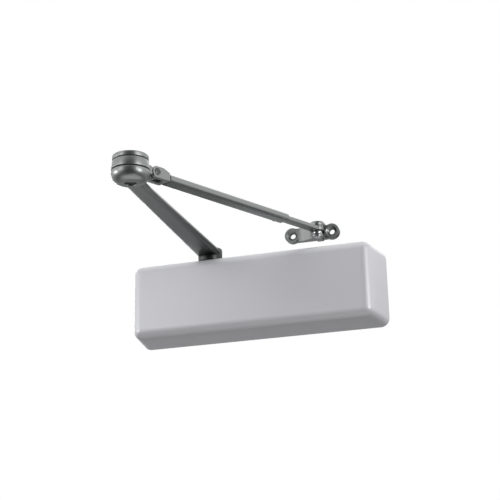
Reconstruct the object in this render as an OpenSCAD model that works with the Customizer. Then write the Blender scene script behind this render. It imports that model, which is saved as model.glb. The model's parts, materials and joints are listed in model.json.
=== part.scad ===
// Surface-mounted door closer with a two-piece arm and a jamb shoe.
// X runs along the cover, +Y goes into the door, +Z is up. The origin is the centre of the
// four body screws, on the door face (y = 0).

/* [Cover] */
// Length of the cover where it meets the door
cover_len = 312; // [306:1:330]
// Height of the cover where it meets the door
cover_height = 93.6; // [93:0.2:100]
// How far the cover stands out from the door
cover_depth = 58.5; // [58:0.5:66]
// Draft of each end of the cover, back to front
cover_end_draft = 8.85; // [4:0.05:9]
// Draft of the top and of the bottom, back to front
cover_top_draft = 1.32; // [0.5:0.02:1.5]
// Rounding along the front edges
cover_front_round = 10.8; // [6:0.2:12]
// Rounding of the four back corners
cover_corner_round = 10.3; // [6:0.1:12]
// Wall of the cover
cover_wall = 2.5; // [1.6:0.1:2.6]

/* [Body] */
// Length of the cylinder casting
body_len = 252; // [246:1:254]
// Outer diameter of the cylinder casting
body_od = 50; // [48:0.5:51]
// Bore that the piston runs in
bore_d = 38; // [36:0.5:38]
// Distance of the bore's axis from the door
bore_depth = 29; // [29:0.5:30]
// Spacing of the body screws along the cover
body_screw_x = 274; // [272:1:276]
// Spacing of the body screws up the door
body_screw_z = 19; // [18:0.5:20]
// Diameter of the body screw holes
body_screw_d = 7; // [5:0.5:7]

/* [Pinion and rack] */
// Place of the pinion's axis along the cover
pinion_x = -57; // [-58:0.5:-54]
// Number of pinion teeth
teeth = 12; // [12:1:12]
// Gear module
gear_module = 1.5; // [1.5:0.1:1.5]
// Pressure angle of the stub teeth
pressure_angle = 25; // [25:0.5:27]
// Play on each tooth flank
flank_play = 0.12; // [0.08:0.01:0.2]
// Diameter of the pinion's journals
journal_d = 16; // [15:0.5:16]
// Width of the square that carries the arm
square_w = 11; // [10:0.1:11]

/* [Main arm] */
// Distance between the pinion's axis and the elbow
arm_len = 267.6; // [240:0.2:300]
// Direction of the arm at rest, from +X
arm_angle = -88.4; // [-100:0.2:-80]
// Height of the arm's underside above the screw centre
arm_z = 54.5; // [52:0.5:56]
// Thickness of the arm
arm_thick = 10; // [8:0.5:10]
// Width of the arm at the elbow
arm_w_elbow = 19.1; // [16:0.1:22]
// Width of the arm at the hub
arm_w_hub = 29; // [24:0.5:30]
// Diameter of the hub
hub_d = 30; // [29:0.5:34]
// Underside of the hub
hub_z = 48.5; // [48.5:0.1:50]

/* [Elbow] */
// Largest diameter of the elbow
elbow_d = 40.8; // [40:0.1:42]
// Height of the dome below the seam
dome_h = 13.1; // [13:0.1:14]
// Height of the swivelling band
band_h = 10.1; // [10:0.1:11]
// Height of the cap on top
cap_h = 5.2; // [5:0.1:7]
// Diameter of the elbow stud
stud_d = 12; // [11:0.5:12]

/* [Forearm] */
// Distance from the elbow's axis to the clevis pin
clevis_reach = 30.6; // [30.2:0.1:33]
// Height of the clevis pin
clevis_pin_z = 73.8; // [73.6:0.1:74]
// Diameter of the clevis pin
clevis_pin_d = 5.2; // [5:0.1:6]
// Width across the clevis cheeks
clevis_w = 18; // [17:0.5:20]
// Upward slope of the forearm at rest
forearm_slope = 1.26; // [1.2:0.02:1.3]
// How far the tube's axis lies below the clevis pin
tube_drop = 1.6; // [1.4:0.1:1.8]
// Clevis pin to the near end of the tube
tube_start = 20.5; // [20:0.5:23]
// Clevis pin to the far end of the tube
tube_end = 213.4; // [190:0.2:216]
// Width of the tube
tube_w = 16.3; // [16:0.1:17]
// Height of the tube
tube_h = 8.8; // [8.6:0.1:9]
// Width of the rod that slides in the tube
rod_w = 12; // [11:0.2:12]
// Thickness of the rod
rod_h = 5.6; // [5.2:0.1:5.6]
// Clevis pin to the hidden end of the rod, at rest
rod_start = 100; // [80:1:120]

/* [Shoe] */
// Place of the shoe's pivot along the cover
shoe_x = 77.2; // [74:0.2:80]
// Distance of the shoe's pivot from the door
shoe_depth = 18; // [17.6:0.2:19]
// Spacing of the two shoe screws
shoe_screw_gap = 49.4; // [48:0.2:52]
// Middle of the shoe screws, along the cover
shoe_mid_x = 67; // [66:0.2:68]
// Height of the shoe screws
shoe_z = 78.3; // [78:0.1:79]
// Diameter of the shoe screw holes
shoe_screw_d = 6.6; // [5:0.1:6.6]
// Diameter of each ear
ear_d = 19; // [18:0.5:20]
// Thickness of each ear
ear_thick = 7; // [6:0.5:8]

/* [Hidden] */

$fn = 64;
// overshoot of a cut past the face it opens
cut = 1;
// radial gap of a running fit, and of a piece seated in its hole
fit = 0.05;
seat = 0.04;

bore_y = -bore_depth;
half_body = body_len / 2;
clip_x = 85;
cap_flange = 3;
cap_plug = 12;
flange_half = 146;
flange_h = 32;
flange_t = 6;

pitch_r = gear_module * teeth / 2;
addendum = 0.8 * gear_module;
dedendum = gear_module;
tooth_pitch = PI * gear_module;
gear_half = 13;
boss_r = 17;
boss_half = 40;
boss_bore_r = 14;
journal_r = journal_d / 2;
bearing_z = 20;
bearing_h = 10;

piston_start = -112;
piston_end = -30;
window_start = -98;
window_end = -44.5;
spring_end_x = 108;
spring_wire = 5;
spring_turns = 11;

valve_y = -14;
valve_z = 19;
valve_r = 3.15;
valve_len = 18;

elbow = [
  pinion_x + arm_len * cos(arm_angle),
  bore_y + arm_len * sin(arm_angle)
];
arm_mid = arm_z + arm_thick / 2;
hub_top = arm_z + arm_thick;
elbow_r = elbow_d / 2;
seam_gap = 0.9;
band_z = arm_z + dome_h + seam_gap;
upper_seam_z = band_z + band_h;
cap_z = upper_seam_z + 0.8;
cap_r = elbow_r - 1.2;
stud_r = stud_d / 2;
tongue_w = 7.4;
cheek_gap = 8;
recess_r = 13;
recess_h = 4.9;

shoe_pivot = [shoe_x, -shoe_depth];
reach = norm(shoe_pivot - elbow);
forearm_angle = atan2(shoe_pivot.y - elbow.y, shoe_pivot.x - elbow.x);
rod_reach = reach - clevis_reach;
eye_z = 75.7;
eye_h = 6.1;
eye_r = 8;
shoe_pin_r = 4;

// ---------- shared shapes ----------

// a cylinder along X
module rod_x(r, from, to) {
  translate([from, 0, 0]) rotate([0, 90, 0]) cylinder(r = r, h = to - from);
}

// a flat ring standing on z = 0
module ring(outer, inner, h) {
  difference() {
    cylinder(r = outer, h = h);
    translate([0, 0, -cut]) cylinder(r = inner, h = h + 2 * cut);
  }
}

// a rectangle with rounded corners, centred
module rounded_rect(w, h, r) {
  square([w - 2 * r, h], center = true);
  square([w, h - 2 * r], center = true);
  for (sx = [-1, 1], sy = [-1, 1])
    translate([sx * (w / 2 - r), sy * (h / 2 - r)]) circle(r = r, $fn = 32);
}

module at_bore() {
  translate([0, bore_y, 0]) children();
}

module at_pinion() {
  translate([pinion_x, bore_y, 0]) children();
}

module at_elbow() {
  translate([elbow.x, elbow.y, 0]) children();
}

// x runs along the forearm from the clevis pin, z is up from the pin
module along_forearm() {
  at_elbow() rotate([0, 0, forearm_angle])
    translate([clevis_reach, 0, clevis_pin_z]) rotate([0, -forearm_slope, 0]) children();
}

module at_shoe_pivot() {
  translate([shoe_pivot.x, shoe_pivot.y, 0]) children();
}

// ---------- closer body and what is fixed to it ----------

module screw_hole_y(x, z, r) {
  translate([x, cut, z]) rotate([90, 0, 0]) cylinder(r = r, h = flange_t + 2 * cut);
}

module valve_boss(side, z_side) {
  translate([0, valve_y, z_side * valve_z])
    rod_x(7, side < 0 ? -half_body : half_body - 30, side < 0 ? 30 - half_body : half_body);
}

module valve_hole(side, z_side) {
  from = half_body - valve_len - 4;
  translate([0, valve_y, z_side * valve_z])
    mirror([side < 0 ? 1 : 0, 0, 0]) rod_x(valve_r + fit, from, half_body + cut);
}

module closer_body() {
  color([0.62, 0.62, 0.63]) difference() {
    union() {
      at_bore() rod_x(body_od / 2, -half_body, half_body);
      rotate([90, 0, 0]) linear_extrude(flange_t)
        rounded_rect(2 * flange_half, flange_h, 6);
      translate([-half_body, -12, -flange_h / 2]) cube([body_len, 12, flange_h]);
      at_pinion() translate([0, 0, -boss_half]) cylinder(r = boss_r, h = 2 * boss_half);
      valve_boss(-1, 1);
      valve_boss(-1, -1);
      valve_boss(1, 1);
    }
    at_bore() rod_x(bore_d / 2, -half_body - cut, half_body + cut);
    at_pinion() translate([0, 0, -boss_half - cut])
      cylinder(r = boss_bore_r, h = 2 * (boss_half + cut));
    for (sx = [-1, 1], sz = [-1, 1])
      screw_hole_y(sx * body_screw_x / 2, sz * body_screw_z / 2, body_screw_d / 2);
    valve_hole(-1, 1);
    valve_hole(-1, -1);
    valve_hole(1, 1);
    for (sx = [-1, 1], sz = [-1, 1]) clip_screw_at(sx, sz) clip_screw_shank(seat);
  }
}

// an end cap for the +X end, mirrored for the other
module end_cap(open_r) {
  plug_r = bore_d / 2 - seat;
  difference() {
    union() {
      rod_x(plug_r, half_body - cap_plug, half_body);
      rod_x(plug_r + 1.6, half_body, half_body + cap_flange);
    }
    translate([half_body - 8, 0, 0]) rotate([0, 90, 0]) ring(plug_r + cut, plug_r - 2, 2.4);
    for (a = [0, 90, 180, 270]) rotate([a, 0, 0])
      translate([0, 0, 13]) rod_x(2.5, half_body - 3, half_body + cap_flange + cut);
    if (open_r > 0) rod_x(open_r, half_body - cap_plug - cut, half_body + cap_flange + cut);
  }
}

module hydraulic_end_cap() {
  color([0.45, 0.45, 0.47]) at_bore() mirror([1, 0, 0]) end_cap(0);
}

module spring_end_cap() {
  color([0.45, 0.45, 0.47]) at_bore() end_cap(5 + fit);
}

module end_cap_orings() {
  color([0.08, 0.08, 0.08]) for (side = [-1, 1])
    translate([side * (half_body - 6.8), bore_y, 0]) rotate([0, 90, 0])
      rotate_extrude() translate([bore_d / 2 - 1.05, 0]) circle(r = 0.95, $fn = 24);
}

module pinion_bearings() {
  color([0.7, 0.7, 0.72]) for (side = [-1, 1])
    at_pinion() translate([0, 0, side > 0 ? bearing_z : -bearing_z - bearing_h])
      ring(boss_bore_r - seat, journal_r + fit, bearing_h);
}

module shaft_seal() {
  color([0.1, 0.1, 0.1]) at_pinion() translate([0, 0, bearing_z + bearing_h + 0.5])
    ring(boss_bore_r - seat, journal_r + fit, 4);
}

module bearing_nut() {
  nut_z = bearing_z + bearing_h + 5;
  color([0.4, 0.4, 0.42]) at_pinion() difference() {
    translate([0, 0, nut_z]) ring(boss_bore_r - seat, journal_r + 0.4, 7.2);
    for (a = [0, 90]) rotate([0, 0, a])
      translate([-boss_bore_r - cut, -1.5, nut_z + 5]) cube([2 * (boss_bore_r + cut), 3, 5]);
  }
}

module lower_pinion_cap() {
  color([0.4, 0.4, 0.42]) at_pinion() difference() {
    translate([0, 0, -42]) cylinder(r = boss_bore_r - seat, h = 9);
    translate([0, 0, -42 - cut]) cylinder(r = 5, h = 4 + cut, $fn = 6);
  }
}

module clip_screw_at(sx, sz) {
  translate([sx * clip_x, -5, 0]) mirror([0, 0, sz < 0 ? 1 : 0])
    translate([0, 0, flange_h / 2]) children();
}

module clip_screw_shank(extra) {
  translate([0, 0, -8]) cylinder(r = 1.6 + extra, h = 10, $fn = 32);
}

// one spring clip: a foot on the web, an upright and a nose that grips the cover's wall
module clip() {
  w = 16;
  t = 1.2;
  foot = 4;
  top_z = 25.4;
  difference() {
    union() {
      translate([-w / 2, -foot, 0]) cube([w, 2 * foot, t]);
      translate([-w / 2, foot - t, 0]) cube([w, t, top_z]);
      translate([-w / 2, -25, top_z - t]) cube([w, 25 + foot, t]);
      translate([-w / 2, -20, top_z + 0.2]) rotate([0, 90, 0]) cylinder(r = 1, h = w, $fn = 24);
    }
    translate([0, 0, -cut]) cylinder(r = 1.6 + seat, h = 4, $fn = 32);
  }
}

module cover_clips() {
  color([0.75, 0.75, 0.76]) for (sx = [-1, 1], sz = [-1, 1]) clip_screw_at(sx, sz) clip();
}

module clip_screws() {
  color([0.5, 0.5, 0.5]) for (sx = [-1, 1], sz = [-1, 1]) clip_screw_at(sx, sz) difference() {
    union() {
      clip_screw_shank(0);
      translate([0, 0, 1.2]) cylinder(r = 2.7, h = 1.8);
    }
    translate([-4, -0.4, 2.1]) cube([8, 0.8, 2]);
  }
}

// ---------- cover ----------

// the drafted box; inset moves every wall inwards, and its back stands at back_y
module cover_solid(inset, back_y) {
  end_slope = atan(cover_end_draft / cover_depth);
  top_slope = atan(cover_top_draft / cover_depth);
  front_y = -cover_depth + cover_front_round;
  front_x = cover_len / 2 + cover_end_draft * front_y / cover_depth
    - cover_front_round / cos(end_slope);
  front_z = cover_height / 2 + cover_top_draft * front_y / cover_depth
    - cover_front_round / cos(top_slope);
  back_x = cover_len / 2 - cover_corner_round;
  back_z = cover_height / 2 - cover_corner_round;
  hull() for (sx = [-1, 1], sz = [-1, 1]) {
    translate([sx * front_x, front_y, sz * front_z])
      sphere(r = cover_front_round - inset, $fn = 32);
    translate([sx * back_x, back_y, sz * back_z]) rotate([90, 0, 0])
      cylinder(r = cover_corner_round - inset, h = 0.01, $fn = 32);
  }
}

module cover() {
  slot_r = 12;
  color([0.76, 0.76, 0.78]) difference() {
    cover_solid(0, 0);
    cover_solid(cover_wall, cut);
    at_pinion() {
      cylinder(r = slot_r, h = cover_height);
      translate([-slot_r, 0, 0]) cube([2 * slot_r, bore_depth + cut, cover_height]);
    }
  }
}

// ---------- pinion and main arm ----------

function involute(a) = tan(a) * 180 / PI - a;

// half of the angle that a tooth takes up at radius r
function tooth_half_angle(r) = let (base_r = pitch_r * cos(pressure_angle))
  90 / teeth - flank_play / pitch_r * 180 / PI + involute(pressure_angle)
  - involute(acos(min(1, base_r / max(r, base_r))));

// one flank's points from the root to the tip
function tooth_flank(side, mid) = [
  for (i = [0 : 6])
    let (
      step = side < 0 ? i : 6 - i,
      r = pitch_r - dedendum + (addendum + dedendum) * step / 6,
      a = mid + side * tooth_half_angle(r)
    )
    [r * cos(a), r * sin(a)]
];

module gear_outline() {
  polygon([
    for (k = [0 : teeth - 1])
      let (mid = k * 360 / teeth)
      each concat(tooth_flank(-1, mid), tooth_flank(1, mid))
  ]);
}

module pinion() {
  color([0.55, 0.55, 0.57]) at_pinion() difference() {
    union() {
      translate([0, 0, -gear_half]) linear_extrude(2 * gear_half) gear_outline();
      translate([0, 0, -bearing_z - bearing_h]) cylinder(r = journal_r, h = 10 + bearing_z - gear_half);
      translate([0, 0, gear_half - cut]) cylinder(r = journal_r, h = hub_z - 2 - gear_half + cut);
      translate([-square_w / 2, -square_w / 2, hub_z - 3]) cube([square_w, square_w, hub_top - hub_z + 2]);
    }
    translate([0, 0, hub_top - 16]) cylinder(r = 3 + seat, h = 20, $fn = 32);
  }
}

// a disc with a fully rounded rim, standing on z = 0
module rounded_disc(r, h) {
  rotate_extrude($fn = 32) {
    square([r - h / 2, h]);
    translate([r - h / 2, h / 2]) intersection() {
      circle(r = h / 2, $fn = 24);
      translate([0, -h]) square([h, 2 * h]);
    }
  }
}

module dome() {
  belly = 10.5;
  rotate_extrude() {
    square([elbow_r - belly, dome_h]);
    translate([0, belly]) square([elbow_r, dome_h - belly]);
    translate([elbow_r - belly, belly]) intersection() {
      circle(r = belly);
      translate([0, -belly]) square(belly);
    }
  }
}

module main_arm() {
  color([0.36, 0.36, 0.35]) difference() {
    union() {
      hull() {
        at_elbow() translate([0, 0, arm_z]) rounded_disc(arm_w_elbow / 2, arm_thick);
        at_pinion() translate([0, 0, arm_z]) rounded_disc(arm_w_hub / 2, arm_thick);
      }
      at_pinion() translate([0, 0, hub_z]) cylinder(r = hub_d / 2, h = hub_top - hub_z);
      at_elbow() translate([0, 0, arm_z]) dome();
    }
    at_pinion() translate([-square_w / 2 - fit, -square_w / 2 - fit, hub_z - cut])
      cube([square_w + 2 * fit, square_w + 2 * fit, hub_top - hub_z + 2 * cut]);
    at_elbow() translate([0, 0, arm_z - cut]) {
      cylinder(r = stud_r + 0.25, h = 4 + cut);
      cylinder(r = stud_r + seat, h = dome_h + 2 * cut);
    }
  }
}

module arm_washer() {
  color([0.6, 0.6, 0.6]) at_pinion() translate([0, 0, hub_top]) ring(9, 3.3, 1.5);
}

module arm_screw() {
  color([0.3, 0.3, 0.3]) at_pinion() difference() {
    union() {
      translate([0, 0, hub_top - 14]) cylinder(r = 3, h = 16, $fn = 32);
      translate([0, 0, hub_top + 1.5]) cylinder(r = 6, h = 4);
    }
    translate([0, 0, hub_top + 3]) cylinder(r = 2.9, h = 4, $fn = 6);
  }
}

// ---------- elbow ----------

module elbow_stud() {
  end_r = 14;
  foot_z = arm_z + 2;
  color([0.28, 0.28, 0.28]) at_elbow() intersection() {
    translate([0, 0, foot_z]) cylinder(r = stud_r, h = cap_z + 2.8 - foot_z);
    translate([0, 0, foot_z + end_r]) union() {
      sphere(r = end_r);
      cylinder(r = stud_r + cut, h = 40);
    }
  }
}

module elbow_cap() {
  edge = 1.2;
  color([0.66, 0.68, 0.67]) at_elbow() translate([0, 0, cap_z]) difference() {
    rotate_extrude() {
      square([cap_r - edge, cap_h]);
      square([cap_r, cap_h - edge]);
      translate([cap_r - edge, cap_h - edge]) circle(r = edge, $fn = 24);
    }
    translate([0, 0, -cut]) cylinder(r = stud_r + seat, h = 3 + cut);
  }
}

module friction_discs() {
  color([0.06, 0.06, 0.06]) at_elbow() {
    translate([0, 0, arm_z + dome_h]) ring(elbow_r - 1, stud_r + 0.1, seam_gap - 0.02);
    translate([0, 0, upper_seam_z + 0.02]) ring(cap_r - 0.3, stud_r + 0.1, cap_z - upper_seam_z - 0.02);
  }
}

module elbow_band() {
  color([0.66, 0.68, 0.67]) at_elbow() difference() {
    union() {
      translate([0, 0, band_z]) cylinder(r1 = elbow_r, r2 = elbow_r - 1.1, h = band_h);
      rotate([0, 0, forearm_angle]) {
        translate([0, -tongue_w / 2, band_z]) cube([clevis_reach, tongue_w, band_h - 0.9]);
        translate([clevis_reach, tongue_w / 2, clevis_pin_z]) rotate([90, 0, 0])
          cylinder(r = 6.2, h = tongue_w);
      }
    }
    translate([0, 0, band_z - cut]) cylinder(r = stud_r + 1.5 + seat, h = band_h + 2 * cut);
    translate([0, 0, upper_seam_z - recess_h]) cylinder(r = recess_r, h = recess_h + cut);
    rotate([0, 0, forearm_angle]) translate([clevis_reach, tongue_w, clevis_pin_z])
      rotate([90, 0, 0]) cylinder(r = clevis_pin_d / 2 + fit, h = 2 * tongue_w, $fn = 32);
  }
}

module elbow_bush() {
  color([0.7, 0.55, 0.3]) at_elbow() translate([0, 0, band_z])
    ring(stud_r + 1.5, stud_r + fit, band_h - recess_h - 0.1);
}

module disc_springs() {
  inner = stud_r + 0.4;
  outer = recess_r - 0.4;
  dish = 1.1;
  thick = 1;
  color([0.5, 0.5, 0.52]) at_elbow() translate([0, 0, upper_seam_z - recess_h + 0.15]) {
    rotate_extrude()
      polygon([[outer, 0], [outer, thick], [inner, thick + dish], [inner, dish]]);
    translate([0, 0, 2 * (thick + dish) + 0.2]) mirror([0, 0, 1]) rotate_extrude()
      polygon([[outer, 0], [outer, thick], [inner, thick + dish], [inner, dish]]);
  }
}

// ---------- forearm ----------

// side outline of the clevis: round at the pin, lower and flatter at the tube
module clevis_side() {
  r = 6.6;
  circle(r = r);
  polygon([
    [0, -r], [0, r], [9.5, r],
    [tube_start, tube_h / 2 + 0.5 - tube_drop],
    [tube_start, -tube_h / 2 - 0.5 - tube_drop]
  ]);
}

module clevis() {
  spigot = 14;
  color([0.66, 0.68, 0.67]) along_forearm() difference() {
    union() {
      translate([0, clevis_w / 2, 0]) rotate([90, 0, 0]) linear_extrude(clevis_w) clevis_side();
      translate([tube_start - cut, 0, -tube_drop]) rotate([90, 0, 90])
        linear_extrude(spigot + cut) rounded_rect(tube_w - 3.7, tube_h - 2.7, 1);
    }
    translate([-10, -cheek_gap / 2, -10]) cube([22, cheek_gap, 20]);
    translate([0, clevis_w, 0]) rotate([90, 0, 0])
      cylinder(r = clevis_pin_d / 2 + seat, h = 2 * clevis_w, $fn = 32);
  }
}

module clevis_pin() {
  color([0.3, 0.3, 0.3]) along_forearm() translate([0, clevis_w / 2 + 0.3, 0])
    rotate([90, 0, 0]) cylinder(r = clevis_pin_d / 2, h = clevis_w + 0.6, $fn = 32);
}

// places a flat outline across the forearm, on the tube's axis
module across_forearm(from, to) {
  along_forearm() translate([from, 0, -tube_drop]) rotate([90, 0, 90])
    linear_extrude(to - from) children();
}

module forearm_tube() {
  color([0.62, 0.64, 0.62]) difference() {
    across_forearm(tube_start, tube_end) rounded_rect(tube_w, tube_h, 2.5);
    across_forearm(tube_start - cut, tube_end + cut) rounded_rect(tube_w - 3.5, tube_h - 2.5, 1);
    length_screw_shank(seat);
  }
}

module length_screw_shank(extra) {
  along_forearm() translate([tube_end - 8, rod_w / 2 + 0.1, -tube_drop])
    rotate([-90, 0, 0]) cylinder(r = 2 + extra, h = 5, $fn = 32);
}

module length_screw() {
  color([0.3, 0.3, 0.3]) difference() {
    union() {
      length_screw_shank(0);
      along_forearm() translate([tube_end - 8, tube_w / 2, -tube_drop])
        rotate([-90, 0, 0]) cylinder(r = 2.9, h = 1.8);
    }
    along_forearm() translate([tube_end - 8, tube_w / 2 + 0.7, -tube_drop])
      rotate([-90, 0, 0]) cylinder(r = 1.3, h = 4, $fn = 6);
  }
}

module forearm_rod() {
  color([0.6, 0.62, 0.6]) difference() {
    union() {
      across_forearm(rod_start, rod_reach - 7) rounded_rect(rod_w, rod_h, 1);
      at_shoe_pivot() rotate([0, 0, forearm_angle])
        translate([-13, -rod_w / 2, eye_z]) cube([9, rod_w, 4.2]);
      at_shoe_pivot() translate([0, 0, eye_z]) cylinder(r = eye_r, h = eye_h);
    }
    at_shoe_pivot() translate([0, 0, eye_z - 5])
      cylinder(r = shoe_pin_r + 1.3 + seat, h = eye_h + 10);
  }
}

module eye_bush() {
  color([0.7, 0.55, 0.3]) at_shoe_pivot() translate([0, 0, eye_z])
    ring(shoe_pin_r + 1.3, shoe_pin_r + fit, eye_h);
}

// ---------- shoe ----------

module ear_screw_x(side) {
  translate([shoe_mid_x + side * shoe_screw_gap / 2, 0, shoe_z]) children();
}

// a horizontal lug from the plate out to the pivot
module lug(z, h, r, half_w) {
  translate([0, 0, z]) {
    at_shoe_pivot() cylinder(r = r, h = h);
    translate([shoe_x - half_w, -shoe_depth, 0]) cube([2 * half_w, shoe_depth - 1, h]);
  }
}

// the web that sweeps from the left ear out to the lugs, seen from above
module shoe_web() {
  from_x = shoe_x - 27;
  sweep_r = 30;
  steps = 8;
  polygon(concat(
    [[from_x, -1], [from_x, -ear_thick]],
    [
      for (i = [1 : steps])
        let (t = i / steps * 19)
        [from_x + t, -ear_thick - sweep_r + sqrt(sweep_r * sweep_r - t * t)]
    ],
    [[shoe_x + 7, -ear_thick - 6.8], [shoe_x + 7, -1]]
  ));
}

module shoe() {
  upper_z = eye_z + eye_h + 0.2;
  lower_z = 68.2;
  lower_top = 71.8;
  top_z = upper_z + 4.6;
  left_x = shoe_mid_x - shoe_screw_gap / 2;
  color([0.62, 0.63, 0.62]) difference() {
    union() {
      for (side = [-1, 1]) ear_screw_x(side)
        rotate([90, 0, 0]) cylinder(r = ear_d / 2, h = ear_thick);
      translate([left_x, 1 - ear_thick, shoe_z - ear_d / 2 + 1])
        cube([shoe_screw_gap, ear_thick - 1, ear_d - 2]);
      translate([0, 0, shoe_z - ear_d / 2 + 0.8]) linear_extrude(top_z - shoe_z + ear_d / 2 - 0.8)
        shoe_web();
      lug(upper_z, top_z - upper_z, eye_r, eye_r);
      lug(lower_z, lower_top - lower_z, 6.8, 4);
    }
    for (side = [-1, 1]) ear_screw_x(side) {
      translate([0, cut, 0]) rotate([90, 0, 0]) cylinder(r = shoe_screw_d / 2, h = 20, $fn = 48);
      translate([0, -ear_thick + 3.7, 0]) rotate([90, 0, 0])
        cylinder(r1 = shoe_screw_d / 2, r2 = 7, h = 3.7);
      translate([0, -ear_thick, 0]) rotate([90, 0, 0]) cylinder(r = 7, h = 6);
    }
    at_shoe_pivot() {
      translate([0, 0, 60]) cylinder(r = shoe_pin_r + seat, h = 40);
      translate([0, 0, lower_top]) cylinder(r = eye_r + 1.4, h = upper_z - lower_top);
    }
    translate([shoe_x - 40, -shoe_depth - 20, lower_top])
      cube([52, shoe_depth + 8, upper_z - lower_top]);
  }
}

module shoe_pin() {
  top_z = eye_z + eye_h + 4.8;
  head_r = 11;
  color([0.5, 0.51, 0.5]) at_shoe_pivot() {
    translate([0, 0, 67.8]) cylinder(r = shoe_pin_r, h = top_z + 0.1 - 67.8);
    translate([0, 0, top_z]) intersection() {
      cylinder(r = 6.5, h = 2);
      translate([0, 0, 2 - head_r]) sphere(r = head_r);
    }
  }
}

module spacer_washer() {
  color([0.5, 0.5, 0.5]) at_shoe_pivot() translate([0, 0, 71.8])
    ring(5.75, shoe_pin_r + fit, eye_z - 0.2 - 71.8);
}

// ---------- piston, spring and their adjustment ----------

// one rack tooth, rising from its root at y = 0
module rack_tooth() {
  half_pitch_line = tooth_pitch / 4 - flank_play;
  root = half_pitch_line + dedendum * tan(pressure_angle);
  tip = half_pitch_line - addendum * tan(pressure_angle);
  polygon([
    [-root, -cut], [-root, 0], [-tip, dedendum + addendum],
    [tip, dedendum + addendum], [root, 0], [root, -cut]
  ]);
}

module rack_piston() {
  rack_y = -pitch_r - dedendum;
  color([0.5, 0.5, 0.52]) at_bore() {
    difference() {
      rod_x(bore_d / 2 - fit, piston_start, piston_end);
      translate([window_start, rack_y, -bore_d])
        cube([window_end - window_start, 13 - rack_y, 2 * bore_d]);
      translate([-109, 0, 0]) rotate([0, 90, 0]) ring(bore_d, bore_d / 2 - 2.55, 3);
      rod_x(4 + seat, piston_start - cut, window_start - 5);
      rod_x(2, piston_start - cut, window_start + cut);
      rod_x(8, piston_end - 10, piston_end + cut);
    }
    for (k = [-8 : 1]) translate([pinion_x + (k + 0.5) * tooth_pitch, rack_y, -12])
      linear_extrude(24) rack_tooth();
  }
}

module piston_seals() {
  color([0.08, 0.08, 0.08]) translate([-108.95, bore_y, 0]) rotate([0, 90, 0])
    ring(bore_d / 2 - 0.07, bore_d / 2 - 2.5, 2.9);
}

module check_valve() {
  color([0.78, 0.62, 0.32]) at_bore() difference() {
    rod_x(4, piston_start - 0.5, piston_start + 8);
    rod_x(1, piston_start - 2, piston_start + 9);
    translate([piston_start - 2, -5, -0.5]) cube([2.5, 10, 1]);
  }
}

// a helix of round wire along X
module helix(from, to, r, wire_r, turns) {
  sides = 8;
  steps = turns * 24;
  points = [
    for (i = [0 : steps], k = [0 : sides - 1])
      let (
        a = i * 360 / 24,
        b = k * 360 / sides,
        ring_r = r + wire_r * cos(b)
      )
      [from + (to - from) * i / steps + wire_r * sin(b), ring_r * cos(a), ring_r * sin(a)]
  ];
  faces = [
    for (i = [0 : steps - 1], k = [0 : sides - 1])
      let (k2 = (k + 1) % sides)
      each [
        [i * sides + k, (i + 1) * sides + k, (i + 1) * sides + k2],
        [i * sides + k, (i + 1) * sides + k2, i * sides + k2]
      ]
  ];
  start_face = [[for (k = [0 : sides - 1]) k]];
  end_face = [[for (k = [sides - 1 : -1 : 0]) steps * sides + k]];
  polyhedron(points, concat(faces, start_face, end_face));
}

module main_spring() {
  wire_r = spring_wire / 2;
  color([0.3, 0.3, 0.32]) at_bore()
    helix(piston_end + wire_r + 0.1, spring_end_x - wire_r - 0.1, 15.4, wire_r, spring_turns);
}

module spring_seat() {
  color([0.5, 0.5, 0.52]) at_bore() difference() {
    union() {
      rod_x(18.5, spring_end_x, spring_end_x + 4);
      rod_x(8.5, spring_end_x - 8, spring_end_x + 5.7);
    }
    rod_x(5 + fit, spring_end_x - 9, spring_end_x + 7);
  }
}

module power_screw() {
  color([0.6, 0.6, 0.62]) at_bore() difference() {
    union() {
      rod_x(5, 88, half_body + cap_flange);
      rod_x(8, half_body + cap_flange, half_body + cap_flange + 3.5);
    }
    translate([half_body + cap_flange + 1, 0, 0]) rotate([0, 90, 0])
      cylinder(r = 3, h = 4, $fn = 6);
  }
}

// ---------- flow valves ----------

// a needle valve screw at the +X end, its tip towards the middle
module valve_screw() {
  tail = half_body - valve_len;
  difference() {
    union() {
      rod_x(valve_r, tail, half_body + 0.5);
      translate([tail - 3, 0, 0]) rotate([0, 90, 0]) cylinder(r1 = 0.6, r2 = 1.6, h = 3.1);
    }
    translate([half_body - 8, 0, 0]) rotate([0, 90, 0]) ring(valve_r + cut, valve_r - 0.85, 1.6);
    translate([half_body - 1, -5, -0.45]) cube([3, 10, 0.9]);
  }
}

module at_valve(side, z_side) {
  translate([0, valve_y, z_side * valve_z]) mirror([side < 0 ? 1 : 0, 0, 0]) children();
}

module sweep_valve() {
  color([0.78, 0.62, 0.32]) at_valve(-1, 1) valve_screw();
}

module latch_valve() {
  color([0.78, 0.62, 0.32]) at_valve(-1, -1) valve_screw();
}

module backcheck_valve() {
  color([0.78, 0.62, 0.32]) at_valve(1, 1) valve_screw();
}

module valve_orings() {
  color([0.08, 0.08, 0.08]) for (at = [[-1, 1], [-1, -1], [1, 1]])
    at_valve(at[0], at[1]) translate([half_body - 7.95, 0, 0]) rotate([0, 90, 0])
      ring(valve_r + 0.02, valve_r - 0.8, 1.5);
}

closer_body();
hydraulic_end_cap();
spring_end_cap();
end_cap_orings();
pinion_bearings();
shaft_seal();
bearing_nut();
lower_pinion_cap();
cover_clips();
clip_screws();
cover();
pinion();
main_arm();
arm_washer();
arm_screw();
elbow_stud();
elbow_cap();
friction_discs();
elbow_band();
elbow_bush();
disc_springs();
clevis();
clevis_pin();
forearm_tube();
length_screw();
forearm_rod();
eye_bush();
shoe();
shoe_pin();
spacer_washer();
rack_piston();
piston_seals();
check_valve();
main_spring();
spring_seat();
power_screw();
sweep_valve();
latch_valve();
backcheck_valve();
valve_orings();
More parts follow.
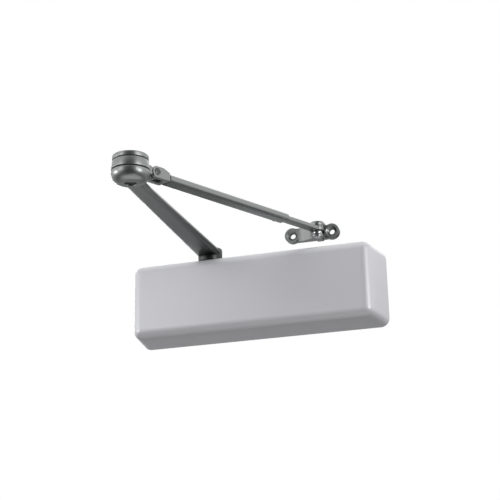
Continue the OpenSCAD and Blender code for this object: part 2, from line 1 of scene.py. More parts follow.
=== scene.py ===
"""Looks of the door closer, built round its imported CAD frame. Lengths are in metres unless named mm."""
import json
import math
import bpy
import bmesh
from mathutils import Matrix, Vector


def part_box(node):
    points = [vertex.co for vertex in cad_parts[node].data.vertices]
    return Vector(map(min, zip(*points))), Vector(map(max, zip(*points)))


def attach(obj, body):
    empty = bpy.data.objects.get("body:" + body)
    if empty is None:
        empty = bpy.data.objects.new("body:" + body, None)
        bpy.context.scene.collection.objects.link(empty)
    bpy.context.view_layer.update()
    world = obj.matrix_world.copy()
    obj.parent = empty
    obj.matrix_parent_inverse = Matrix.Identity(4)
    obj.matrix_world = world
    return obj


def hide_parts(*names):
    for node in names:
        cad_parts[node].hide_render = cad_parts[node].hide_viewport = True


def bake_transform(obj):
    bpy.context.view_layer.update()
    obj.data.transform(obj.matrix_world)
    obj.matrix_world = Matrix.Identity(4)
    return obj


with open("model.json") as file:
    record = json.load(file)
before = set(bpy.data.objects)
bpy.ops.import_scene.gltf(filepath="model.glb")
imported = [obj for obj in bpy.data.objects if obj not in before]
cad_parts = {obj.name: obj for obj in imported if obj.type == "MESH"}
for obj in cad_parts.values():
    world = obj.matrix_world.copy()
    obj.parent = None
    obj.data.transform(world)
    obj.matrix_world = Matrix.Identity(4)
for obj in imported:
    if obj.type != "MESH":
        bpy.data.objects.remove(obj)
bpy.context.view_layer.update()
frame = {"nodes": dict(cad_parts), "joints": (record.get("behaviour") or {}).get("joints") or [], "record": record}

MM = 0.001
NODES = frame["nodes"]
JOINTS = {joint["name"]: joint for joint in frame["joints"]}


# ---------- places taken from the frame ----------

def joint_point(name):
    return Vector(JOINTS[name]["pos_m"])


def joint_axis(name):
    return Vector(JOINTS[name]["axis"]).normalized()


def low(node):
    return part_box(node)[0]


def high(node):
    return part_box(node)[1]


def size(node):
    return high(node) - low(node)


PINION = joint_point("pinion_turn")
ELBOW = joint_point("elbow_turn")
CLEVIS_PIN = joint_point("forearm_tilt")
SHOE_PIVOT = joint_point("shoe_turn")
FOREARM_DIR = joint_axis("rod_slide")
REACH_DIR = Vector((FOREARM_DIR.x, FOREARM_DIR.y, 0)).normalized()


def forearm_matrix():
    """Local x runs along the forearm from the clevis pin, z is up from the pin."""
    x = FOREARM_DIR
    y = Vector((0, 0, 1)).cross(x).normalized()
    z = x.cross(y)
    turn = Matrix((x, y, z)).transposed().to_4x4()
    return Matrix.Translation(CLEVIS_PIN) @ turn


def level_matrix(point, direction):
    """Local x runs along a level direction from a point on the floor plan, z stays the row's z."""
    x = Vector((direction.x, direction.y, 0)).normalized()
    turn = Matrix((x, Vector((-x.y, x.x, 0)), Vector((0, 0, 1)))).transposed().to_4x4()
    return Matrix.Translation((point.x, point.y, 0)) @ turn


# ---------- mesh helpers ----------

def make_object(name, bm):
    bmesh.ops.remove_doubles(bm, verts=bm.verts, dist=1e-6)
    bmesh.ops.recalc_face_normals(bm, faces=bm.faces)
    mesh = bpy.data.meshes.new(name)
    bm.to_mesh(mesh)
    bm.free()
    obj = bpy.data.objects.new(name, mesh)
    bpy.context.scene.collection.objects.link(obj)
    return obj


def smooth(obj, degrees=32):
    for face in obj.data.polygons:
        face.use_smooth = True
    obj.data.set_sharp_from_angle(angle=math.radians(degrees))
    return obj


def arc(cx, cy, radius, start, end, steps=10):
    """Points on an arc, angles in degrees."""
    angles = [math.radians(start + (end - start) * i / steps) for i in range(steps + 1)]
    return [(cx + radius * math.cos(a), cy + radius * math.sin(a)) for a in angles]


def loft(bm, rings, close_rings=False):
    """Joins equal rings of points in order; caps the ends unless the rings close on themselves."""
    made = [[bm.verts.new(point) for point in ring] for ring in rings]
    count = len(made[0])
    pairs = list(zip(made, made[1:]))
    if close_rings:
        pairs.append((made[-1], made[0]))
    for one, two in pairs:
        for i in range(count):
            j = (i + 1) % count
            bm.faces.new((one[i], one[j], two[j], two[i]))
    if not close_rings:
        bm.faces.new(made[0])
        bm.faces.new(list(reversed(made[-1])))


def lathe(name, outline, centre, steps=96):
    """Turns a closed (radius, height) outline about the vertical line through centre."""
    bm = bmesh.new()
    rings = []
    for i in range(steps):
        a = 2 * math.pi * i / steps
        rings.append([
            (centre.x + r * math.cos(a), centre.y + r * math.sin(a), z) for r, z in outline
        ])
    loft(bm, rings, close_rings=True)
    bmesh.ops.remove_doubles(bm, verts=bm.verts, dist=1e-7)
    bmesh.ops.dissolve_degenerate(bm, dist=1e-7, edges=bm.edges)
    return smooth(make_object(name, bm))


def prism(name, outline, depth, matrix=None):
    """Extrudes a flat outline by depth along local z, then places it."""
    bm = bmesh.new()
    loft(bm, [[(x, y, 0) for x, y in outline], [(x, y, depth) for x, y in outline]])
    if matrix:
        bmesh.ops.transform(bm, matrix=matrix, verts=bm.verts)
    return make_object(name, bm)


def rounded_rect(width, height, radius, steps=6):
    x, y = width / 2 - radius, height / 2 - radius
    return (
        arc(x, -y, radius, -90, 0, steps) + arc(x, y, radius, 0, 90, steps)
        + arc(-x, y, radius, 90, 180, steps) + arc(-x, -y, radius, 180, 270, steps)
    )


def combine(target, tool, operation):
    """Applies one boolean and removes the tool."""
    modifier = target.modifiers.new("combine", "BOOLEAN")
    modifier.operation = operation
    modifier.solver = "EXACT"
    modifier.object = tool
    graph = bpy.context.evaluated_depsgraph_get()
    mesh = bpy.data.meshes.new_from_object(target.evaluated_get(graph))
    target.modifiers.clear()
    old = target.data
    target.data = mesh
    bpy.data.meshes.remove(old)
    bpy.data.objects.remove(tool)
    return target


def bevel_edges(obj, width_mm, segments=3, degrees=32):
    modifier = obj.modifiers.new("rounded edges", "BEVEL")
    modifier.width = width_mm * MM
    modifier.segments = segments
    modifier.limit_method = "ANGLE"
    modifier.angle_limit = math.radians(degrees)
    modifier.miter_outer = "MITER_ARC"
    modifier.harden_normals = True
    return obj


def mark_faces(obj, test):
    """Gives the second material to the faces whose centre passes the test."""
    for face in obj.data.polygons:
        face.material_index = 1 if test(face.center) else 0


def settle(obj, node, material, second=None):
    """The piece replaces its CAD node, which is hidden, and takes the given material; it rides on that node's
    body, except the main spring.
    """
    body = next(b for b, names in frame["record"]["behaviour"]["bodies"].items() if node in names)
    obj.data.materials.clear()
    obj.data.materials.append(material)
    if second:
        obj.data.materials.append(second)
    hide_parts(node)
    if node != "main_spring":
        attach(obj, body)
    return obj


# ---------- materials ----------

def node_material(name):
    material = bpy.data.materials.new(name)
    material.use_nodes = True
    tree = material.node_tree
    return material, tree, tree.nodes["Principled BSDF"]


def link(tree, out_node, out_name, in_node, in_name):
    tree.links.new(out_node.outputs[out_name], in_node.inputs[in_name])


def noise(tree, scale, detail=3.0, roughness=0.5):
    coords = tree.nodes.new("ShaderNodeTexCoord")
    texture = tree.nodes.new("ShaderNodeTexNoise")
    texture.inputs["Scale"].default_value = scale
    texture.inputs["Detail"].default_value = detail
    texture.inputs["Roughness"].default_value = roughness
    link(tree, coords, "Object", texture, "Vector")
    return texture


def remap(tree, source, out_name, low_in, high_in, low_out, high_out):
    node = tree.nodes.new("ShaderNodeMapRange")
    node.inputs["From Min"].default_value = low_in
    node.inputs["From Max"].default_value = high_in
    node.inputs["To Min"].default_value = low_out
    node.inputs["To Max"].default_value = high_out
    link(tree, source, out_name, node, "Value")
    return node


def mix_colours(tree, factor_node, factor_name, one, two):
    node = tree.nodes.new("ShaderNodeMix")
    node.data_type = "RGBA"
    node.inputs["A"].default_value = (*one, 1)
    node.inputs["B"].default_value = (*two, 1)
    link(tree, factor_node, factor_name, node, "Factor")
    return node


def scaled(colour, factor):
    return tuple(min(1, c * factor) for c in colour)


def surface(name, colour, metallic, roughness, grain_scale, grain_depth_mm, variation=0.06, wear=0.25,
            worn=(0.75, 0.75, 0.74)):
    """A finish with broad colour drift, fine grain in bump and roughness, and rubbed edges."""
    material, tree, shader = node_material(name)
    drift = noise(tree, 14, 4)
    base = mix_colours(tree, drift, "Fac", scaled(colour, 1 - variation), scaled(colour, 1 + variation))
    geometry = tree.nodes.new("ShaderNodeNewGeometry")
    edge = remap(tree, geometry, "Pointiness", 0.52, 0.62, 0, wear)
    rubbed = tree.nodes.new("ShaderNodeMix")
    rubbed.data_type = "RGBA"
    rubbed.inputs["B"].default_value = (*worn, 1)
    link(tree, edge, "Result", rubbed, "Factor")
    tree.links.new(base.outputs["Result"], rubbed.inputs["A"])
    tree.links.new(rubbed.outputs["Result"], shader.inputs["Base Color"])
    grain = noise(tree, grain_scale, 2)
    rough = remap(tree, grain, "Fac", 0.3, 0.7, roughness * 0.88, roughness * 1.12)
    link(tree, rough, "Result", shader, "Roughness")
    bump = tree.nodes.new("ShaderNodeBump")
    bump.inputs["Strength"].default_value = 0.35
    bump.inputs["Distance"].default_value = grain_depth_mm * MM
    link(tree, grain, "Fac", bump, "Height")
    link(tree, bump, "Normal", shader, "Normal")
    shader.inputs["Metallic"].default_value = metallic
    return material


def lay_painted_shade(material, shade_share):
    """Mixes painted shade, a near-black colour, into the base colour by the shade node's result."""
    tree = material.node_tree
    shader = tree.nodes["Principled BSDF"]
    clean = shader.inputs["Base Color"].links[0].from_socket
    mix = tree.nodes.new("ShaderNodeMix")
    mix.data_type = "RGBA"
    mix.inputs["B"].default_value = (0.012, 0.014, 0.013, 1)
    link(tree, shade_share, "Result", mix, "Factor")
    tree.links.new(clean, mix.inputs["A"])
    tree.links.new(mix.outputs["Result"], shader.inputs["Base Color"])
    return material


def paint_shade_towards(material, far, near, share):
    """Paints shade into the finish, darker steadily from one place to another; a chosen look, not a known one."""
    tree = material.node_tree
    coords = tree.nodes.new("ShaderNodeTexCoord")
    along = tree.nodes.new("ShaderNodeVectorMath")
    along.operation = "DOT_PRODUCT"
    direction = (near - far).normalized()
    along.inputs[1].default_value = direction
    link(tree, coords, "Object", along, 0)
    shade_share = remap(tree, along, "Value", far.dot(direction), near.dot(direction), 0, share)
    return lay_painted_shade(material, shade_share)


def paint_underside_shade(material, share):
    """Paints shade on faces that look down, darkening the finish there; a chosen look, not a known one."""
    tree = material.node_tree
    geometry = tree.nodes.new("ShaderNodeNewGeometry")
    split = tree.nodes.new("ShaderNodeSeparateXYZ")
    link(tree, geometry, "Normal", split, "Vector")
    shade_share = remap(tree, split, "Z", -0.25, -0.85, 0, share)
    return lay_painted_shade(material, shade_share)


# shares of painted shade: the main arm at its hub, and the faces that look down on the cover and the forearm
HUB_PAINTED_SHADE = 0.85
UNDERSIDE_PAINTED_SHADE = {"cover": 0.38, "forearm": 0.45}
COVER_PAINT = ((0.66, 0.66, 0.69), 0.15, 0.40, 2600, 0.03, 0.02, 0.10)
ARM_FINISH = ((0.265, 0.280, 0.274), 0.9, 0.36, 1800, 0.04, 0.05, 0.12, (0.42, 0.42, 0.41))
MATERIALS = {
    "cover_paint": surface("cover_paint", *COVER_PAINT),
    "arm_paint": surface("arm_paint", *ARM_FINISH),
    "cast_body": surface("cast_body", (0.26, 0.27, 0.27), 0.3, 0.62, 700, 0.25, 0.12, 0.15),
    "plated_steel": surface("plated_steel", (0.55, 0.56, 0.58), 1.0, 0.32, 1500, 0.03, 0.08, 0.3),
    "bright_steel": surface("bright_steel", (0.62, 0.62, 0.63), 1.0, 0.22, 2200, 0.02, 0.05, 0.2),
    "dark_steel": surface("dark_steel", (0.05, 0.05, 0.05), 0.7, 0.38, 1500, 0.03, 0.1, 0.3),
    "friction_lining": surface("friction_lining", (0.012, 0.012, 0.012), 0.0, 0.8, 1200, 0.05, 0.1, 0.0),
    "rubber": surface("rubber", (0.02, 0.02, 0.02), 0.0, 0.6, 1400, 0.04, 0.1, 0.0),
    "bronze": surface("bronze", (0.42, 0.27, 0.11), 1.0, 0.36, 1600, 0.04, 0.12, 0.3, (0.75, 0.55, 0.3)),
    "brass": surface("brass", (0.62, 0.43, 0.16), 1.0, 0.26, 1600, 0.03, 0.08, 0.3, (0.85, 0.7, 0.4)),
    "spring_steel": surface("spring_steel", (0.10, 0.10, 0.11), 0.9, 0.35, 1500, 0.04, 0.12, 0.3),
}
# painted shade: the cover's and the forearm's paint is darker on faces that look down
COVER_WITH_PAINTED_SHADE = paint_underside_shade(surface("cover_paint_underside_shade", *COVER_PAINT), UNDERSIDE_PAINTED_SHADE["cover"])
FOREARM_WITH_PAINTED_SHADE = paint_underside_shade(surface("forearm_paint_underside_shade", *ARM_FINISH), UNDERSIDE_PAINTED_SHADE["forearm"])


# ---------- cover ----------

def cover_ring(depth_share, y, inset, round_off, corner, count):
    """One loop round the cover: depth_share is 0 at the front and 1 at the door."""
    half_x = COVER["half_front_x"] + (COVER["half_back_x"] - COVER["half_front_x"]) * depth_share
    half_z = COVER["half_front_z"] + (COVER["half_back_z"] - COVER["half_front_z"]) * depth_share
    off = corner - inset - round_off
    points = []
    for sx, sz, start in ((1, 1, 0), (-1, 1, 90), (-1, -1, 180), (1, -1, 270)):
        centre = (sx * (half_x - corner), sz * (half_z - corner))
        points += arc(*centre, max(off, 0), start, start + 90, count)
    return [(x, y, z) for x, z in points]


END_DRAFT = 8.85 * MM
TOP_DRAFT = 1.32 * MM
cover_low, cover_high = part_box("cover")
COVER = {
    "half_back_x": cover_high.x,
    "half_back_z": cover_high.z,
    "half_front_x": cover_high.x - END_DRAFT,
    "half_front_z": cover_high.z - TOP_DRAFT,
    "depth": -cover_low.y,
    "wall": 2.5 * MM,
    "edge": 10.8 * MM,
}


def cover_shell_rings(inset):
    """Loops from the door edge to the front face, with the long front edges rounded."""
    depth, edge = COVER["depth"], COVER["edge"]
    steps = 12
    rings = [cover_ring(1, 0, inset, 0, edge, steps), cover_ring(0.6, -0.4 * depth, inset, 0, edge, steps)]
    radius = edge - inset
    for i in range(steps + 1):
        a = math.pi / 2 * i / steps
        y = -depth + edge - radius * math.sin(a)
        share = (y + depth) / depth
        rings.append(cover_ring(share, y, inset, radius * (1 - math.cos(a)), edge, steps))
    return rings


def build_cover():
    outer = cover_shell_rings(0)
    inner = cover_shell_rings(COVER["wall"])
    bm = bmesh.new()
    loft(bm, list(reversed(outer)) + inner)
    cover = make_object("cover_shell", bm)
    slot_half = 12 * MM
    top = high("cover").z
    slot = arc(PINION.x, PINION.y, slot_half, 180, 360, 24) + [
        (PINION.x + slot_half, 10 * MM), (PINION.x - slot_half, 10 * MM)
    ]
    cutter = prism("slot_cutter", slot, 20 * MM, Matrix.Translation((0, 0, top - 12 * MM)))
    combine(cover, cutter, "DIFFERENCE")
    smooth(cover, 28)
    bevel_edges(cover, 0.5, 2, 50)
    return settle(cover, "cover", COVER_WITH_PAINTED_SHADE)


# ---------- main arm ----------

def tapered_outline(one, r_one, two, r_two, steps=20):
    """Outline round two discs and the straight sides that touch both."""
    along = (two - one).to_2d()
    length = along.length
    heading = math.degrees(math.atan2(along.y, along.x))
    lean = math.degrees(math.asin((r_one - r_two) / length))
    first = arc(two.x, two.y, r_two, heading - 90 + lean, heading + 90 - lean, steps)
    second = arc(one.x, one.y, r_one, heading + 90 - lean, heading + 270 + lean, steps)
    return first + second


def build_main_arm():
    bottom = low("main_arm").z
    arm_top = low("arm_washer").z
    arm_bottom = arm_top - 10 * MM
    thick = arm_top - arm_bottom
    bm = bmesh.new()
    rings = []
    for i in range(13):
        a = math.pi * i / 12 - math.pi / 2
        inset = thick / 2 * (1 - math.cos(a))
        z = arm_bottom + thick / 2 * (1 + math.sin(a))
        outline = tapered_outline(PINION, 14.5 * MM - inset, ELBOW, 9.55 * MM - inset)
        rings.append([(x, y, z) for x, y in outline])
    loft(bm, rings)
    arm = make_object("main_arm_forging", bm)
    hub_r = 15 * MM
    hub = lathe("hub", [(0, bottom), *arc(hub_r - MM, bottom + MM, MM, -90, 0, 4),
                        *arc(hub_r - MM, arm_top - MM, MM, 0, 90, 4), (0, arm_top)], PINION)
    combine(arm, hub, "UNION")
    combine(arm, dome_solid(arm_bottom), "UNION")
    side = 5.55 * MM
    square = [(side * sx, side * sy) for sx, sy in ((-1, -1), (1, -1), (1, 1), (-1, 1))]
    at_hub = Matrix.Translation((PINION.x, PINION.y, bottom - 5 * MM))
    combine(arm, prism("square_cutter", square, 40 * MM, at_hub), "DIFFERENCE")
    flare_r, mouth_r, stud_r = 6.9 * MM, 6.25 * MM, 6.0 * MM
    shoulder, above = arm_bottom + 4 * MM, arm_bottom + 30 * MM
    mouth = [(0, arm_bottom - MM), (flare_r, arm_bottom - MM), (mouth_r, arm_bottom + 0.5 * MM),
             (mouth_r, shoulder), (stud_r, shoulder), (stud_r, above), (0, above)]
    combine(arm, lathe("stud_cutter", mouth, ELBOW), "DIFFERENCE")
    smooth(arm, 28)
    # painted shade: the faces round the elbow stud hole get the near-black rubber finish, standing for the shade
    # inside the hole
    painted_shade_hole_r = 6.6 * MM
    mark_faces(arm, lambda c: (c - ELBOW).to_2d().length < painted_shade_hole_r)
    # painted shade: the main arm's paint darkens steadily from the elbow towards the hub
    finish = paint_shade_towards(surface("main_arm_paint_painted_shade", *ARM_FINISH), ELBOW.xyz, PINION.xyz, HUB_PAINTED_SHADE)
    # the second, near-black finish is the painted shade in the stud hole
    return settle(arm, "main_arm", finish, MATERIALS["rubber"])


def dome_solid(bottom):
    """The round underside of the elbow: a flat foot, a big round belly and a short upright wall."""
    radius = size("friction_discs").x / 2 + MM
    height = low("friction_discs").z - 0.2 * MM - bottom
    belly = 10.5 * MM
    lip = 0.5 * MM
    outline = [(0, bottom), *arc(radius - belly, bottom + belly, belly, -90, 0, 16),
               *arc(radius - lip, bottom + height - lip, lip, 0, 90, 3), (0, bottom + height)]
    return lathe("dome", outline, ELBOW, 120)


# ---------- elbow ----------

def build_elbow():
    cap_low, cap_high = low("elbow_cap").z, high("elbow_cap").z
    cap_r = size("elbow_cap").x / 2
    edge = 1.2 * MM
    lip = 0.35 * MM
    rim_r, dish_r, dish_z = cap_r - 4 * MM, cap_r - 4.5 * MM, cap_high - 0.3 * MM
    cap_outline = [(0, cap_low), *arc(cap_r - lip, cap_low + lip, lip, -90, 0, 3),
                   *arc(cap_r - edge, cap_high - edge, edge, 0, 90, 8),
                   (rim_r, cap_high), (dish_r, dish_z), (0, dish_z)]
    settle(lathe("elbow_cap_turned", cap_outline, ELBOW, 120), "elbow_cap", MATERIALS["arm_paint"])

    band_low, band_high = low("elbow_bush").z, cap_low - 0.8 * MM
    wide = size("friction_discs").x / 2 + MM
    narrow = wide - 1.1 * MM
    inner = 7.6 * MM
    base = band_low + 0.2 * MM
    crest = band_high - 0.3 * MM
    recess_r, recess_z = 13 * MM, band_high - 4.9 * MM
    outline = [*arc(wide - lip, base + lip, lip, -90, 0, 3), (narrow + 0.4 * MM, band_low + 6 * MM),
               *arc(narrow - lip, crest - lip, lip, 0, 90, 3), (recess_r, crest),
               (recess_r, recess_z), (inner, recess_z), (inner, base)]
    band = lathe("elbow_band_turned", outline, ELBOW, 120)
    combine(band, band_neck(base + 0.3 * MM), "UNION")
    smooth(band, 28)
    settle(band, "elbow_band", MATERIALS["arm_paint"])

    foot = low("elbow_stud").z
    stud_r = size("elbow_stud").x / 2
    stud_top = high("elbow_stud").z
    stud_edge = 0.4 * MM
    stud_outline = [(0, foot), *arc(stud_r - stud_edge, foot + stud_edge, stud_edge, -90, 0, 3),
                    (stud_r, stud_top), (0, stud_top)]
    settle(lathe("elbow_stud_turned", stud_outline, ELBOW, 64), "elbow_stud", MATERIALS["arm_paint"])


def band_neck(base):
    """The neck and the tongue that reach from the band into the clevis."""
    level = level_matrix(ELBOW, REACH_DIR)
    reach = (CLEVIS_PIN - ELBOW).to_2d().length
    rise = CLEVIS_PIN.z
    top = low("elbow_cap").z - 1.7 * MM
    neck_end = reach - 7.4 * MM
    root, root_half, end_half = 15 * MM, 11 * MM, 8.5 * MM
    plan = [(root, -root_half), (neck_end, -end_half), (neck_end, end_half), (root, root_half)]
    neck = prism("neck", plan, top - base, level @ Matrix.Translation((0, 0, base)))
    half = 3.7 * MM
    tip = 6.2 * MM
    inside, gap = root + 0.5 * MM, 0.1 * MM
    side = [(inside, base + gap)] + arc(reach, rise, tip, -90, 90, 16) + [(inside, top - gap)]
    stand = Matrix(((1, 0, 0, 0), (0, 0, -1, half), (0, 1, 0, 0), (0, 0, 0, 1)))
    tongue = prism("tongue", side, 2 * half, level @ stand)
    return combine(neck, tongue, "UNION")


# ---------- forearm ----------

TUBE_DROP = 1.6 * MM
TUBE_START = 20.5 * MM
CLEVIS_HALF_WIDTH = 9 * MM
ACROSS = Matrix(((0, 0, 1, 0), (1, 0, 0, 0), (0, 1, 0, 0), (0, 0, 0, 1)))


def along_forearm(distance):
    """Places a section's centre on the tube's line, with its depth running along the forearm."""
    return forearm_matrix() @ Matrix.Translation((distance, 0, -TUBE_DROP)) @ ACROSS


def build_forearm_tube():
    length = tube_far_end() - TUBE_START
    outer = rounded_rect(16.3 * MM, 8.8 * MM, 3.4 * MM, 10)
    tube = prism("forearm_tube_drawn", outer, length, along_forearm(TUBE_START))
    bore = rounded_rect(12.8 * MM, 6.3 * MM, 1.0 * MM)
    past_end = 10 * MM
    cutter = prism("tube_cutter", bore, length + 2 * past_end, along_forearm(TUBE_START - past_end))
    combine(tube, cutter, "DIFFERENCE")
    smooth(tube, 28)
    bevel_edges(tube, 0.35, 2, 50)
    settle(tube, "forearm_tube", FOREARM_WITH_PAINTED_SHADE)


def build_clevis():
    """Fork on the forearm's near end; the spigot in the seam before the tube gets the near-black rubber finish as
    painted shade.
    """
    place = forearm_matrix()
    seam = 1.8 * MM
    r = 6.6 * MM
    end = TUBE_START - seam
    end_half = 4.7 * MM
    side = arc(0, 0, r, 90, 270, 20) + [
        (end, -TUBE_DROP - end_half), (end, -TUBE_DROP + end_half), (9.5 * MM, r)
    ]
    stand = Matrix(((1, 0, 0, 0), (0, 0, -1, CLEVIS_HALF_WIDTH), (0, 1, 0, 0), (0, 0, 0, 1)))
    clevis = prism("clevis_forged", side, 2 * CLEVIS_HALF_WIDTH, place @ stand)
    gap_x, gap_y = 12 * MM, 4 * MM
    gap = [(-gap_x, -gap_y), (gap_x, -gap_y), (gap_x, gap_y), (-gap_x, gap_y)]
    gap_place = place @ Matrix.Translation((0, 0, -15 * MM))
    combine(clevis, prism("gap_cutter", gap, 30 * MM, gap_place), "DIFFERENCE")
    spigot = rounded_rect(12.6 * MM, 6.1 * MM, 1.0 * MM)
    combine(clevis, prism("spigot", spigot, 16 * MM, along_forearm(end - MM)), "UNION")
    crater = [(0, -0.1 * MM), (4.3 * MM, -0.1 * MM), (2.8 * MM, 1.1 * MM), (0, 1.1 * MM)]
    for turn in (90, -90):
        dish = lathe("crater_cutter", crater, Vector((0, 0, 0)), 64)
        dish.data.transform(place @ Matrix.Rotation(math.radians(turn), 4, "X")
                            @ Matrix.Translation((0, 0, -CLEVIS_HALF_WIDTH)))
        combine(clevis, dish, "DIFFERENCE")
    smooth(clevis, 28)
    unplace = place.inverted()
    # painted shade: the spigot faces past the fork's end get the near-black rubber finish, standing for the shade
    # in the seam
    mark_faces(clevis, lambda c: (unplace @ c).x > end + 0.1 * MM)
    bevel_edges(clevis, 0.9, 4, 40)
    settle(clevis, "clevis", MATERIALS["arm_paint"], MATERIALS["rubber"])


def build_clevis_pin():
    pin_r = 2.6 * MM
    neck_r = pin_r * 0.7
    pin_half = size_along_pin() / 2
    head = [(0, -pin_half), (neck_r, -pin_half + 0.15 * MM), (pin_r, -pin_half + 0.5 * MM),
            (pin_r, pin_half - 0.5 * MM), (neck_r, pin_half - 0.15 * MM), (0, pin_half)]
    pin = lathe("clevis_pin_riveted", head, Vector((0, 0, 0)), 48)
    pin.data.transform(forearm_matrix() @ Matrix.Rotation(math.radians(90), 4, "X"))
    settle(pin, "clevis_pin", MATERIALS["dark_steel"])


def tube_far_end():
    """Distance of the tube's far end from the clevis pin."""
    corners = [Vector(v.co) for v in NODES["forearm_tube"].data.vertices]
    return max((c - CLEVIS_PIN).dot(FOREARM_DIR) for c in corners)


def size_along_pin():
    axis = joint_axis("forearm_tilt")
    spans = [Vector(v.co).dot(axis) for v in NODES["clevis_pin"].data.vertices]
    return max(spans) - min(spans)


def build_rod():
    corners = [Vector(v.co) for v in NODES["forearm_rod"].data.vertices]
    start = min((c - CLEVIS_PIN).dot(FOREARM_DIR) for c in corners)
    pivot = (SHOE_PIVOT - CLEVIS_PIN).dot(FOREARM_DIR)
    section = rounded_rect(12 * MM, 5.6 * MM, 1.6 * MM)
    rod = prism("forearm_rod_forged", section, pivot - 7 * MM - start, along_forearm(start))
    eye_low, eye_high = low("eye_bush").z, high("eye_bush").z
    level = level_matrix(SHOE_PIVOT, REACH_DIR)
    neck = rounded_rect(9 * MM, 12 * MM, 0.5 * MM, 2)
    neck_place = level @ Matrix.Translation((-8.5 * MM, 0, eye_low))
    combine(rod, prism("rod_neck", neck, 4.2 * MM, neck_place), "UNION")
    edge = 0.8 * MM
    eye_r = 8 * MM
    eye = lathe("rod_eye", [(0, eye_low), *arc(eye_r - edge, eye_low + edge, edge, -90, 0, 5),
                            *arc(eye_r - edge, eye_high - edge, edge, 0, 90, 5), (0, eye_high)], SHOE_PIVOT)
    combine(rod, eye, "UNION")
    hole_r = size("eye_bush").x / 2 + 0.04 * MM
    below, above = eye_low - 9 * MM, eye_high + 9 * MM
    hole = [(0, below), (hole_r, below), (hole_r, above), (0, above)]
    combine(rod, lathe("eye_cutter", hole, SHOE_PIVOT, 64), "DIFFERENCE")
    smooth(rod, 28)
    settle(rod, "forearm_rod", FOREARM_WITH_PAINTED_SHADE)


# ---------- main spring ----------

def build_spring():
    """A round-wire helix, not attached to any body."""
    start, end = low("main_spring").x, high("main_spring").x
    centre = (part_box("main_spring")[0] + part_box("main_spring")[1]) / 2
    wire_r = 2.5 * MM
    coil_r = size("main_spring").y / 2 - wire_r
    turns, per_turn, sides = 11, 40, 12
    total = turns * per_turn
    bm = bmesh.new()
    rings = []
    for i in range(total + 1):
        turn = i / per_turn
        share = i / total
        x = start + wire_r + (end - start - 2 * wire_r) * share
        a = 2 * math.pi * turn
        ring = []
        for k in range(sides):
            b = 2 * math.pi * k / sides
            r = coil_r + wire_r * math.cos(b)
            y, z = centre.y + r * math.cos(a), centre.z + r * math.sin(a)
            ring.append((x + wire_r * math.sin(b), y, z))
        rings.append(ring)
    loft(bm, rings)
    spring = smooth(make_object("main_spring_wound", bm))
    settle(spring, "main_spring", MATERIALS["spring_steel"])
    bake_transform(spring)


# ---------- CAD pieces that stay ----------

def dress_cad_nodes(replaced):
    """Every kept CAD node gets welded, softened edges and its slot's finish."""
    for part in frame["record"]["subparts"]:
        node = part["node"]
        if node in replaced:
            continue
        obj = NODES[node]
        obj.data.materials.clear()
        obj.data.materials.append(MATERIALS[part["material_slot"]])
        weld = obj.modifiers.new("weld", "WELD")
        weld.merge_threshold = 1e-6
        bevel_edges(obj, 0.25, 2, 40)


# ---------- stage, light and camera ----------

def build_stage():
    material, tree, shader = node_material("floor_paint")
    speckle = noise(tree, 6, 3)
    tone = mix_colours(tree, speckle, "Fac", (0.80, 0.80, 0.80), (0.84, 0.84, 0.84))
    tree.links.new(tone.outputs["Result"], shader.inputs["Base Color"])
    shader.inputs["Roughness"].default_value = 0.9
    bm = bmesh.new()
    bmesh.ops.create_grid(bm, x_segments=1, y_segments=1, size=0.9)
    floor = make_object("floor", bm)
    floor.location = (0, 0, -1.3)
    floor.data.materials.append(material)


def add_area_light(name, location, target, width, height, power):
    data = bpy.data.lights.new(name, "AREA")
    data.shape = "RECTANGLE"
    data.size = width
    data.size_y = height
    data.energy = power
    light = bpy.data.objects.new(name, data)
    light.location = location
    light.rotation_mode = "QUATERNION"
    light.rotation_quaternion = (Vector(target) - Vector(location)).to_track_quat("-Z", "Y")
    light.visible_camera = False
    bpy.context.scene.collection.objects.link(light)


ROOM_GLOW = 1.14
DIM_GLOW = 0.06


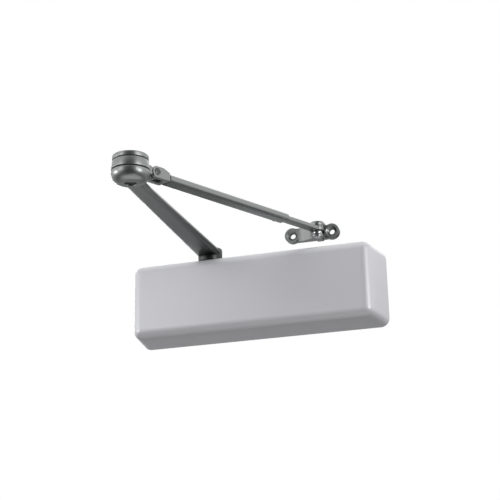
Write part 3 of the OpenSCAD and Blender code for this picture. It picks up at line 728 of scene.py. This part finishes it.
def build_world():
    """White backdrop to camera rays; the object is lit by a room that is dim in two directions."""
    world = bpy.data.worlds.new("studio")
    bpy.context.scene.world = world
    world.use_nodes = True
    tree = world.node_tree
    tree.nodes.clear()
    coords = tree.nodes.new("ShaderNodeTexCoord")
    split = tree.nodes.new("ShaderNodeSeparateXYZ")
    link(tree, coords, "Generated", split, "Vector")
    glow = remap(tree, split, "Z", -0.6, 0.15, 0.12, 1.0)
    front_dim = (Vector((0.39, -0.92, 0)), 0.45, 0.88)
    rear_dim = (Vector((0.30, 0.95, 0)), 0.88, 0.97)
    for heading, start, full in (front_dim, rear_dim):
        facing = tree.nodes.new("ShaderNodeVectorMath")
        facing.operation = "DOT_PRODUCT"
        facing.inputs[1].default_value = heading
        link(tree, coords, "Generated", facing, 0)
        dim = remap(tree, facing, "Value", start, full, ROOM_GLOW, DIM_GLOW)
        dim.interpolation_type = "SMOOTHSTEP"
        product = tree.nodes.new("ShaderNodeMath")
        product.operation = "MULTIPLY"
        tree.links.new(glow.outputs[0], product.inputs[0])
        link(tree, dim, "Result", product, 1)
        glow = product
    shade = tree.nodes.new("ShaderNodeBackground")
    tree.links.new(glow.outputs[0], shade.inputs["Strength"])
    white = tree.nodes.new("ShaderNodeBackground")
    white.inputs["Color"].default_value = (1, 1, 1, 1)
    path = tree.nodes.new("ShaderNodeLightPath")
    mix = tree.nodes.new("ShaderNodeMixShader")
    output = tree.nodes.new("ShaderNodeOutputWorld")
    tree.links.new(path.outputs["Is Camera Ray"], mix.inputs[0])
    tree.links.new(shade.outputs[0], mix.inputs[1])
    tree.links.new(white.outputs[0], mix.inputs[2])
    tree.links.new(mix.outputs[0], output.inputs["Surface"])


def build_lights():
    elbow = (ELBOW.x, ELBOW.y, 0.06)
    cover = (0, -0.06, 0)
    add_area_light("left_softbox", (-1.45, -0.80, 0.04), elbow, 0.4, 0.3, 6)
    add_area_light("right_softbox", (1.35, -0.62, 0.02), elbow, 0.4, 0.3, 5)
    add_area_light("left_key", (-0.95, -1.7, 0.35), cover, 0.6, 0.7, 3)
    add_area_light("right_key", (1.7, -1.1, 0.5), cover, 0.7, 0.7, 6)
    add_area_light("rim_light", (-0.9, 1.3, 0.6), elbow, 0.6, 0.5, 9)
    add_area_light("rear_light", (0.4, 1.5, 1.2), cover, 1.4, 1.0, 3)


def build_camera():
    azimuth, elevation, roll = (math.radians(a) for a in (17.38, -18.11, -1.33))
    distance = 1.527
    aim = Vector((-0.0073, -0.0231, 0.0607))
    back = Vector((
        math.sin(azimuth) * math.cos(elevation),
        -math.cos(azimuth) * math.cos(elevation),
        math.sin(elevation),
    ))
    camera = bpy.data.objects.new("camera", bpy.data.cameras.new("camera"))
    bpy.context.scene.collection.objects.link(camera)
    camera.location = aim + back * distance
    camera.rotation_mode = "QUATERNION"
    level_view = (-back).to_track_quat("-Z", "Y")
    camera.rotation_quaternion = level_view @ Matrix.Rotation(roll, 3, "Z").to_quaternion()
    camera.data.sensor_width = 36
    camera.data.lens = 89.9
    camera.data.clip_start = 0.05
    bpy.context.scene.camera = camera


bpy.context.scene.view_settings.view_transform = "Standard"
build_camera()
build_world()
build_lights()
build_stage()
build_cover()
build_main_arm()
build_elbow()
build_forearm_tube()
build_clevis()
build_clevis_pin()
build_rod()
build_spring()
REPLACED = {
    "cover", "main_arm", "elbow_cap", "elbow_band", "elbow_stud",
    "forearm_tube", "clevis", "clevis_pin", "forearm_rod", "main_spring",
}
dress_cad_nodes(REPLACED)
